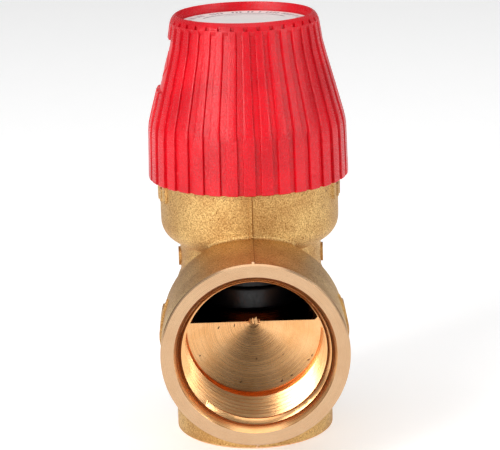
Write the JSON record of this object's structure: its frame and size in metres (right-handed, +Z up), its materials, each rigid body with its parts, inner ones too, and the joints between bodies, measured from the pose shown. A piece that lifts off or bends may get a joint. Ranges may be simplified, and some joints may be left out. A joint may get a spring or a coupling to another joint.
{
  "type": "pressure relief valve",
  "caption": "Angle-pattern brass membrane relief valve with a threaded inlet below, a larger threaded outlet in front, and a ribbed red test knob that lifts the seal when turned.",
  "frame": {"origin": "on the plane of the inlet face, under the middle of the whole valve; the valve axis stands 7.1 mm behind it in +Y", "axes": "+Z up along the valve axis from the inlet to the knob, -Y the way the outlet faces, +X to the right seen from the outlet"},
  "size_m": [0.036, 0.0502, 0.077],
  "materials": {
    "forged_brass": "forged and shot-blasted, with turned faces and threads",
    "turned_brass": "turned",
    "spring_steel": "drawn wire",
    "zinc_plated_steel": "zinc plated",
    "black_rubber": "moulded EPDM",
    "black_nylon": "moulded glass-filled nylon",
    "red_abs": "moulded with a spark-eroded grain",
    "label_film": "printed film"
  },
  "bodies": {
    "root": {"valve_body": "forged_brass", "bonnet": "black_nylon", "slip_ring": "turned_brass", "spring_washer": "zinc_plated_steel", "adjusting_nut": "turned_brass", "main_spring": "spring_steel", "diaphragm": "black_rubber"},
    "stem": {"stem": "turned_brass", "disc_holder": "black_nylon", "disc_seal": "black_rubber", "seal_washer": "zinc_plated_steel", "seal_screw": "zinc_plated_steel", "diaphragm_plate": "turned_brass", "knob_washer": "zinc_plated_steel", "knob_screw": "zinc_plated_steel"},
    "knob": {"knob": "red_abs", "label_disc": "label_film"}
  },
  "joints": [
    {"name": "stem_lift", "type": "slide", "parent": "root", "child": "stem", "axis": [0, 0, 1], "range_m": [0, 0.0024], "deforming": ["main_spring", "diaphragm"]},
    {"name": "knob_turn", "type": "hinge", "parent": "stem", "child": "knob", "pos_m": [0, 0.0071, 0.07], "axis": [0, 0, 1], "range_deg": [0, 75]}
  ],
  "couplings": [
    {"joint": "knob_turn", "follows": "stem_lift", "rad_per_m": 545.41}
  ]
}
